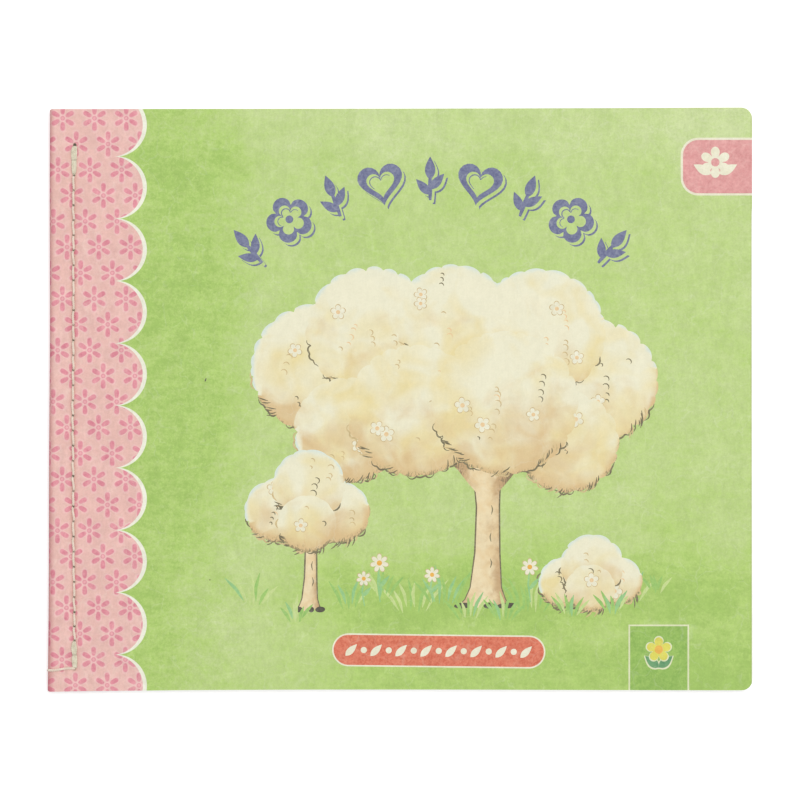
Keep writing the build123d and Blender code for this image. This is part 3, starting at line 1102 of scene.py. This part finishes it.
def past_seam(y):
    """How far a place lies beyond the seam's ends."""
    return np.abs(y - np.clip(y, SEAM_FOOT_Y, SEAM_HEAD_Y))


def nearest_hole(y):
    return HOLE_YS[np.abs(y[:, None] - HOLE_YS[None, :]).argmin(axis=1)]


def is_first_hole(hole_y):
    return hole_y > SEAM_HEAD_Y - 0.1


def hole_reach(x, y):
    """How far a place is from the nearest needle hole's middle, where 1 is a usual hole's rim."""
    return np.hypot((x - seam_line(y)) / (HOLE_WIDTH / 2), (y - nearest_hole(y)) / (HOLE_LENGTH / 2))


def hole_fading(hole_y):
    """0 at a needle hole that stays open and dark, up to 1 at one that has closed. The first stays open."""
    return np.where(is_first_hole(hole_y), 0.0, 0.5 + 0.5 * np.sin(9.0 * hole_y))


def hole_tone(x, y):
    """0 in the middle of a needle hole, where its painted shade is darkest, and 1 at its rim."""
    hole_y = nearest_hole(y)
    growth = np.where(is_first_hole(hole_y), FIRST_HOLE_GROWTH, 1.0)
    return hole_reach(x, y) / growth + 0.4 * hole_fading(hole_y)


def seam_tone(x, y):
    """Painted shade close beside the seam, where the thread draws the sheet down."""
    return bell((x - seam_line(y)) / 0.6) * bell(past_seam(y) / 0.6)


def meadow_tone(x, y):
    """The painted shade beside the seam, and a deeper printed patch of the wash under the trees."""
    return seam_tone(x, y) + bell((x - 14) / 46) * bell((y + 50) / 7)


def seam_relief(x, y):
    """How the pull of the thread shapes the sheet near the seam, in millimetres along its normal."""
    away, past, off_hole = np.abs(x - seam_line(y)), past_seam(y), y - nearest_hole(y)
    groove = -GROOVE_DEPTH * bell(np.hypot(away, past) / 0.9)
    dimple = -DIMPLE_DEPTH * bell(np.hypot(away / 0.9, off_hole / 1.05))
    gathers = np.cos(2 * math.pi * off_hole / STITCH)
    pucker = -PUCKER_HEIGHT * gathers * bell((away - 1.6) / 1.3) * bell(past / 2.0)
    rim = hole_reach(x, y)
    well = -HOLE_DEPTH * smooth_step((1.02 - rim) / 0.62)
    return groove + dimple + pucker + np.where(rim < 1.0, well, 0.0)


DROOP_WIDTH = 1.35
DROOP_SLOPE = 0.2
DROOP_TOP_Y = 62.0
RIDGE_INSET = 1.4
RIDGE_HEIGHT = 0.03


def edge_relief(x, y):
    """The cover droops over the leaves under it along a faint line just inside the fore-edge."""
    past = np.clip(x - (FORE_X - DROOP_WIDTH), 0, DROOP_WIDTH)
    ridge = RIDGE_HEIGHT * bell((x - (FORE_X - RIDGE_INSET)) / 0.22)
    return (ridge - DROOP_SLOPE * past) * smooth_step((DROOP_TOP_Y - y) / 16.0)


# The cover sheet: a front and a back piece that meet on the fold line

def sheet_grid(reach, spacing):
    """Points that the sheet needs to bend and dip: close at the fold and the seam, wide elsewhere."""
    seam_s = SEAM_X - PRINT_X0
    stretches = (
        (0.0, 2.6, 0.22, 1.3),
        (2.6, seam_s - 2.4, 0.6, 0.75),
        (seam_s - 2.4, seam_s + 2.4, 0.3, 0.34),
        (seam_s + 2.4, seam_s + 9.0, 0.6, 0.9),
        (seam_s + 9.0, 32.0, 1.5, 1.8),
        (32.0, reach - 3.0, spacing, spacing),
        (reach - 3.0, reach - 0.1, 0.3, 2.0),
    )
    points = []
    for start, end, ds, dy in stretches:
        columns, rows = max(1, round((end - start) / ds)), round(2 * HALF_HEIGHT / dy)
        for i in range(columns):
            s, shift = start + (end - start) * (i + 0.5) / columns, 0.5 * (i % 2)
            points += [(s, -HALF_HEIGHT + 2 * HALF_HEIGHT * (j + shift) / rows) for j in range(1, rows)]
    return points


def cover_outline(side):
    """Outline of half the cover sheet laid flat, with points as close together as each edge needs."""
    reach = COVER.reach[side]
    corner = reach - FORE_CORNER + FORE_CORNER * np.sin(np.linspace(0, math.pi / 2, 9))
    edge_s = np.concatenate([np.linspace(0, 3, 16), np.linspace(4, reach - FORE_CORNER - 1, 60), corner])
    edge_y = half_page(np.minimum(COVER.at(side * edge_s)[0], FORE_X))
    top = [(float(s), float(y)) for s, y in zip(edge_s, edge_y)]
    fore = [(reach, float(y)) for y in np.linspace(edge_y[-1], -edge_y[-1], 60)[1:-1]]
    spine = [(0.0, float(y)) for y in np.linspace(-edge_y[0], edge_y[0], 110)[1:-1]]
    return [(s, -y) for s, y in top] + fore[::-1] + top[::-1] + spine[::-1]


class CutSheet:
    """Half of the cover sheet laid flat, in triangles cut along every printed shape and needle hole."""

    def __init__(self, side, art, spacing):
        self.coords, self.shapes, self.inks, self.tones = [], [], [], []
        # The cover's tone: painted shade beside the seam, and on the front the printed patch under the trees
        self.add(cover_outline(side), "cover", meadow_tone if art.shapes else seam_tone)
        for points, ink, tone in art.shapes:
            self.add([(x - PRINT_X0, y) for x, y in before_settling(points)], ink, tone)
        for hole_y in HOLE_YS.tolist():
            self.add_hole(hole_y)
        self.coords += sheet_grid(COVER.reach[side], spacing)
        self.cut()

    def add(self, points, ink, tone):
        self.shapes.append(list(range(len(self.coords), len(self.coords) + len(points))))
        self.coords += points
        self.inks.append(ink)
        self.tones.append(tone)

    def add_hole(self, y):
        """A needle hole, with rings of points inside it for its dent."""
        first = is_first_hole(y)
        growth = FIRST_HOLE_GROWTH if first else 1.0
        s = float(seam_line(y)) - PRINT_X0
        grown = [growth * share for share in HOLE_RINGS]
        rim, *inner_rings = [oval(s, y, HOLE_WIDTH / 2 * g, HOLE_LENGTH / 2 * g, count=12) for g in grown]
        self.add(rim, "first_hole" if first else "hole", hole_tone)
        self.coords += sum(inner_rings, [])

    def cut(self):
        """Cuts the sheet up. Where shapes overlap, the last one added owns the triangle."""
        flat, _, triangles, _, _, owners = delaunay_2d_cdt(self.coords, [], self.shapes, 1, 1e-5, True)
        kept = [i for i, owner in enumerate(owners) if 0 in owner]
        used, numbers = np.unique([triangles[i] for i in kept], return_inverse=True)
        self.triangles = numbers.reshape(-1, 3)
        self.owner = np.array([max(owners[i]) for i in kept])
        self.s, self.y = np.array([tuple(flat[i]) for i in used]).T

    def turned_up(self, side):
        """The triangles as lists, each turned so that it faces outwards on its side of the book."""
        a, b, c = (np.stack([self.s, self.y])[:, self.triangles[:, i]] for i in range(3))
        turn = (b - a)[0] * (c - a)[1] - (b - a)[1] * (c - a)[0]
        return np.where((turn * side < 0)[:, None], self.triangles[:, ::-1], self.triangles).tolist()


def cover_piece(name, side, art, spacing):
    """One half of the cover sheet as a closed thin shell. side is 1 for the front and -1 for the back."""
    sheet = CutSheet(side, art, spacing)
    s, y, count = sheet.s, sheet.y, len(sheet.s)
    x, z, nx, nz = COVER.at(side * s)
    relief = seam_relief(x, y) + (edge_relief(x, y) if side > 0 else 0)
    up = np.concatenate([SHEET / 2 + relief, SHEET / 2 - SKIN + np.maximum(relief, 0)])
    s, y, x, z, nx, nz = (np.tile(row, 2) for row in (s, y, x, z, nx, nz))
    unsettled = np.column_stack([x + nx * up, y, z + nz * up])
    points = settle(unsettled)
    faces, walls = shell(sheet.turned_up(side), count)
    materials = list(dict.fromkeys(sheet.inks + ["inside", "cut"]))
    slots = [materials.index(sheet.inks[shape]) for shape in sheet.owner]
    slots += [materials.index("inside")] * len(sheet.owner) + [materials.index("cut")] * walls
    piece = make_mesh(name, points, faces, materials, slots)
    corners = corner_vertices(piece)
    drift = points - unsettled
    place = np.column_stack([side * (s + drift[:, 0]), y + drift[:, 1]])
    write_uv(piece, "print", place[corners] / UV_SCALE)
    write_bake_map(piece, s, y, COVER.reach[side], corners, walls)
    write_tones(piece, s, y, sheet, corners)
    return piece


# The flat map for textures: the plain side is squeezed into a strip under the printed side
MAP_MARGIN = 0.002
MAP_BREADTH = 1 - 2 * MAP_MARGIN
INSIDE_SHARE = 0.155
WALL_START = 0.159
WALL_BREADTH = 0.006
OUTSIDE_START = 0.172


def write_bake_map(piece, s, y, reach, corners, walls):
    """A flat map in which the printed side has its full size. The walls' corners come last."""
    inside = np.arange(len(s)) >= len(s) // 2
    up = y + HALF_HEIGHT
    share = up / (2 * HALF_HEIGHT)
    v = np.where(inside, INSIDE_SHARE * share, OUTSIDE_START + up / reach * MAP_BREADTH)
    uv = np.column_stack([MAP_MARGIN + MAP_BREADTH * s / reach, v])[corners]
    wall = corners[-4 * walls:]
    along = MAP_MARGIN + MAP_BREADTH * (s[wall] / reach + share[wall]) / 2
    uv[-4 * walls:] =np.column_stack([along, WALL_START + WALL_BREADTH * inside[wall]])
    layer = write_uv(piece, "OFBake", uv)
    layer.active = layer.active_render = True


def write_tones(piece, s, y, sheet, corners):
    """The shading of each printed shape, kept at its faces' corners so that neighbours don't share it."""
    tone = np.zeros(len(corners), np.float32)
    x = s + PRINT_X0
    for shape, shade in enumerate(sheet.tones):
        if shade:
            at = (3 * np.flatnonzero(sheet.owner == shape)[:, None] + np.arange(3)).ravel()
            tone[at] = shade(x[corners[at]], y[corners[at]])
    write_shade(piece, "tone", "CORNER", tone)


# Inner sheets

FOLD_STATIONS = (0.0, 0.12, 0.25, 0.4, 0.55, 0.75, 1.0, 1.3, 1.7, 2.2, 3.0, 4.0, 5.2, 6.5, 8.0, 9.5)
BEND_STATIONS = (11.0, 12.5, 14.0, 16.0, 18.0, 20.0, 22.5, 25.0, 27.5, 30.0)
ROWS_UP_PAGE = 41
TRIM_START = 150.0
TRIM_LENGTH = 30.0


def page_stations(section):
    """Distances along a folded sheet at which the mesh has a row: close in the fold and the bends."""
    shorter = min(section.reach.values())
    half = [*FOLD_STATIONS, *BEND_STATIONS, *np.linspace(36.0, shorter - FORE_CORNER - 3.0, 22)]
    ends = FORE_CORNER * np.sin(np.linspace(0, math.pi / 2, 8))
    front, back = (half + list(section.reach[side] - FORE_CORNER + ends) for side in (1, -1))
    return np.array([-s for s in back[::-1]] + front[1:])


def inner_sheets():
    """The folded sheets inside the cover, each a closed thin shell, all in one piece."""
    points, places, faces, slots = [], [], [], []
    for sheet in range(SHEETS - 1):
        section = Section(sheet)
        s = page_stations(section)
        x, z, nx, nz = section.at(s)
        trim, lift = rng.uniform(-0.25, 0.0), rng.uniform(-0.12, 0.05)
        x_trimmed = x + trim * np.maximum(0.0, (np.abs(s) - TRIM_START) / TRIM_LENGTH)
        y = np.outer(half_page(x) + lift, np.linspace(-1, 1, ROWS_UP_PAGE))
        number = np.arange(y.size).reshape(y.shape) + 2 * y.size * sheet
        outer = quads(number[:-1, :-1], number[1:, :-1], number[1:, 1:], number[:-1, 1:])
        closed, walls = shell(outer, y.size)
        faces += closed
        slots += [0] * (2 * len(outer)) + [1] * walls
        for up in (SKIN / 2, -SKIN / 2):
            layer_x, layer_z = (np.repeat(row, ROWS_UP_PAGE) for row in (x_trimmed + nx * up, z + nz * up))
            points.append(np.column_stack([layer_x, y.ravel(), layer_z]))
            places.append(np.column_stack([np.repeat(s, ROWS_UP_PAGE), y.ravel()]))
    piece = make_mesh("inner_sheets", settle(np.concatenate(points)), faces, ["inside", "cut"], slots)
    write_uv(piece, "print", np.concatenate(places)[corner_vertices(piece)] / UV_SCALE)
    return piece


# Threads

PLIES = 3
PLY_SIDES = 7
THREAD_RADIUS = 0.34
THREAD_SLANT = 0.12
TWIST_TURN = 1.5 / THREAD_RADIUS
TUBE_STEP = 0.2
STITCH_POINTS = 33
STITCH_HEIGHT = 0.8 * THREAD_RADIUS
STITCH_DIP = 0.14
DIVE_START = 0.7
DIVE_END = 0.16
DIVE_DEPTH = 0.5
TAIL_RADIUS = 0.36
TAIL_BITE = 0.42
# How far aside the strands of the doubled seam lie, and the share of it at places along the way down
STRAND_SHIFTS = (-0.52, 0.0, 0.5)
HEAD_BREADTH = ((0, 0.08, 0.2, 0.4, 0.5, 0.65, 0.85, 1), (0.2, 0.75, 0.95, 0.85, 0.66, 0.78, 0.6, 0.3))
FOOT_BREADTH = ((0, 0.12, 0.25, 0.42, 0.5, 0.6, 0.8, 1), (0.1, 0.5, 0.85, 0.6, 0.42, 0.7, 0.85, 0.55))
SINGLE_BREADTH = ((0, 1), (0, 0))


def unit(vectors):
    return vectors / np.linalg.norm(vectors, axis=1)[:, None]


class Tubes:
    """Twisted threads gathered into one mesh."""

    def __init__(self):
        self.points, self.faces, self.slots, self.count = [], [], [], 0

    def strand(self, path, radius, slot, phase):
        """A thread of twisted plies along a path of points."""
        along = lengths_along(path)
        at = np.linspace(0, along[-1], max(8, int(along[-1] / TUBE_STEP)))
        line = np.column_stack([np.interp(at, along, row) for row in path.T])
        ahead = unit(np.gradient(line, axis=0))
        steep = np.abs(ahead[:, 2:]) > 0.9
        side = unit(np.cross(ahead, np.where(steep, (1.0, 0.0, 0.0), (0.0, 0.0, 1.0))))
        up = np.cross(side, ahead)

        def step(angles):
            """Half the thread's radius from each point of the line, in a direction round it."""
            angles = np.broadcast_to(angles, len(line))[:, None]
            return radius / 2 * (np.cos(angles) * side + np.sin(angles) * up)

        for ply in range(PLIES):
            centre = line + step(phase + 2 * math.pi * (ply / PLIES + at / (TWIST_TURN * radius)))
            self.tube([centre + step(angle) for angle in around(PLY_SIDES)], slot)

    def tube(self, lines, slot):
        """A round tube with closed ends, from lines that run along its surface."""
        points = np.stack(lines, axis=1)
        number = self.count + np.arange(len(points) * PLY_SIDES).reshape(-1, PLY_SIDES)
        near, far = number[:-1], number[1:]
        faces = quads(near, np.roll(near, -1, axis=1), np.roll(far, -1, axis=1), far)
        faces += [number[0, ::-1].tolist(), number[-1].tolist()]
        self.points.append(points.reshape(-1, 3))
        self.faces += faces
        self.slots += [slot] * len(faces)
        self.count += number.size


def over_cover(s, y, lift, side):
    """Points over the cover's face, following its groove but not its holes."""
    x, z, nx, nz = COVER.at(side * s)
    up = SHEET / 2 + np.maximum(seam_relief(x, y), -0.2) + lift
    return np.column_stack([x + nx * up, y, z + nz * up])


def stitch_path(y0, y1, side, shift, breadth):
    """From one needle hole up, over the sheet and down into another, with a dip at any hole between.

    shift is how far its middle lies to one side, and breadth gives the share of it at places along the way.
    """
    length = abs(y1 - y0)
    wobble, slant = rng.uniform(-0.09, 0.09), THREAD_SLANT + rng.uniform(-0.08, 0.08)
    t = np.linspace(0, 1, round(STITCH_POINTS * length / STITCH))
    y = y0 + (y1 - y0) * (DIVE_END + (length - 2 * DIVE_END) * t) / length
    near = np.minimum(np.abs(y - y0), np.abs(y - y1))
    rise = smooth_step((near - DIVE_END) / (DIVE_START - DIVE_END))
    lift = STITCH_HEIGHT * rise - DIVE_DEPTH * (1 - rise) ** 2
    if length > 1.5 * STITCH:
        lift -= STITCH_DIP * bell((y - (y0 + y1) / 2) / 0.45)
    s = seam_line(y) - PRINT_X0 + shift * np.interp(t, *breadth)
    s += wobble * np.sin(math.pi * t) - slant * np.cos(math.pi * t)
    return over_cover(s, y, lift, side)


def tail_path(y):
    """The thread's end: out of the last hole, over to the spine, tight round the fold and back behind."""
    seam_s = float(seam_line(y)) - PRINT_X0
    t = np.linspace(0, 1, 40)
    lift = TAIL_RADIUS * np.minimum(0.9, 0.1 + 5 * t) - TAIL_BITE * smooth_step((t - 0.72) / 0.28)
    front_y = y + 0.1 + 0.1 * np.sin(7.0 * t) - 0.5 * t * t
    front_half = over_cover((seam_s + 0.1) * (1 - t), front_y, lift, 1)
    lift = TAIL_RADIUS * 0.8 - TAIL_BITE * smooth_step((0.3 - t) / 0.3)
    back_half = over_cover((seam_s - 0.3) * t, front_y[-1] * (1 - t) + y * t, lift, -1)
    return np.concatenate([front_half, back_half[1:]])


def seam_threads(name, side):
    """The stitches on one face of the book, with the sewn-back ends and, in front, the thread's tail."""
    tubes = Tubes()
    for i in range(BACKTACK, STITCHES - BACKTACK):
        path = stitch_path(HOLE_YS[i], HOLE_YS[i + 1], side, 0.0, SINGLE_BREADTH)
        tubes.strand(path, THREAD_RADIUS, 0, rng.uniform(0, 6))
    for upper, breadth in ((0, HEAD_BREADTH), (STITCHES - BACKTACK, FOOT_BREADTH)):
        for shift in STRAND_SHIFTS:
            path = stitch_path(HOLE_YS[upper], HOLE_YS[upper + BACKTACK], side, shift, breadth)
            tubes.strand(path, THREAD_RADIUS, 1, rng.uniform(0, 6))
    if side > 0:
        tubes.strand(tail_path(HOLE_YS[-1]), TAIL_RADIUS, 0, 1.0)
    points = np.concatenate(tubes.points)
    piece = make_mesh(name, settle(points), tubes.faces, ["thread", "thread_thick"], tubes.slots, 80.0)
    # sunk holds the thread's painted shade
    write_shade(piece, "sunk", "POINT", sunk_share(*points.T, side))
    return piece


def sunk_share(x, y, z, side):
    """Painted shade on the thread: where it dives into a needle hole, and at the waists of the doubled ends.
    """
    flap_z = MID_Z + side * FLAP_HALF
    sunk = np.clip(side * (flap_z - z) / 0.5, 0, 1) * (1 - 0.5 * hole_fading(nearest_hole(y)))
    for waist in (1, STITCHES - 1):
        sunk += 0.28 * bell((y - HOLE_YS[waist]) / 0.36)
    return np.where(np.abs(x - seam_line(y)) < 1.2, sunk, 0.0)


# Build

front = cover_piece("cover_sheet_front", 1, front_print(), 1.5)
back = cover_piece("cover_sheet_back", -1, Print(), 3.0)
inner = inner_sheets()
needle = seam_threads("needle_thread_stitches", 1)
bobbin = seam_threads("bobbin_thread_stitches", -1)

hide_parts("front_cover", "spine_wrap")
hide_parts("back_cover", "spine_wrap")
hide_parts("pages")
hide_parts("needle_thread")
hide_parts("bobbin_thread")

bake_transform(front)
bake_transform(back)
for piece in (inner, needle, bobbin):
    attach(piece, "bound_pages")


# Floor, light and camera: in metres, apart from CAMERA_Y, PHOTO_WIDTH and SENSOR, in millimetres

FLOOR_Z = -0.08 * MM
FLOOR_HALF = 3.0
FLOOR_GLOW = 0.3
FLOOR_SHADES = ((0.0, (245.8, 245.8, 245.8)), (1.0, (247.0, 247.0, 247.0)))
WORLD_LIGHT = 0.56
KEY_WATTS = 10.7
KEY_SIZE = 1.1
KEY_PLACE = (0.22, 0.26, 1.35)
WHITE = (1, 1, 1, 1)


def white_for_camera(graph, seen, lit):
    """One shader for what the camera sees, straight or in a reflection, and another that lights the rest."""
    kinds = ("Is Camera Ray", "Is Glossy Ray", "Is Transmission Ray")
    straight, reflected, through = (graph.node("LightPath", None, kind) for kind in kinds)
    ray = graph.math("MAXIMUM", graph.math("MAXIMUM", straight, reflected), through)
    return graph.node("MixShader", {0: ray, 1: lit, 2: seen})


def studio_floor():
    """A pale floor that takes the book's shadow and is otherwise seen as white."""
    graph = object_graph("studio_floor", 1.0)
    diffuse = graph.node("BsdfDiffuse", {0: graph.noise(0.3, 1.0).ramp(*FLOOR_SHADES)})
    bright = graph.node("AddShader", {0: diffuse, 1: graph.node("Emission", {"Strength": FLOOR_GLOW})})
    material = graph.finish(white_for_camera(graph, bright, diffuse))
    mesh = bpy.data.meshes.new("floor")
    corners = ((-1, -1), (1, -1), (1, 1), (-1, 1))
    mesh.from_pydata([(FLOOR_HALF * x, FLOOR_HALF * y, FLOOR_Z) for x, y in corners], [], [(0, 1, 2, 3)])
    mesh.materials.append(material)
    return link(bpy.data.objects.new("floor", mesh))


def studio_world():
    graph = Graph(bpy.data.worlds.new("studio"))
    lit = graph.node("Background", {"Color": WHITE, "Strength": WORLD_LIGHT})
    seen = graph.node("Background", {"Color": WHITE})
    bpy.context.scene.world = graph.finish(white_for_camera(graph, seen, lit))


def softbox():
    lamp = bpy.data.lights.new("softbox", "AREA")
    lamp.shape = "SQUARE"
    lamp.size = KEY_SIZE
    lamp.energy = KEY_WATTS
    key = link(bpy.data.objects.new("softbox", lamp))
    key.location = KEY_PLACE
    key.rotation_euler = (-key.location).to_track_quat("-Z", "Y").to_euler()


studio_floor()
studio_world()
softbox()

CAMERA_DISTANCE = 1.0
CAMERA_Y = -0.26
PHOTO_WIDTH = 204.8
SENSOR = 36.0
camera_data = bpy.data.cameras.new("camera")
camera_data.sensor_width = SENSOR
camera_data.lens = SENSOR * CAMERA_DISTANCE / (PHOTO_WIDTH * MM)
camera = link(bpy.data.objects.new("camera", camera_data))
camera.location = ((SPINE_X + FORE_X) / 2 * MM, CAMERA_Y * MM, CAMERA_DISTANCE + TOP_Z * MM)
bpy.context.scene.camera = camera
bpy.context.scene.view_settings.view_transform = "Standard"
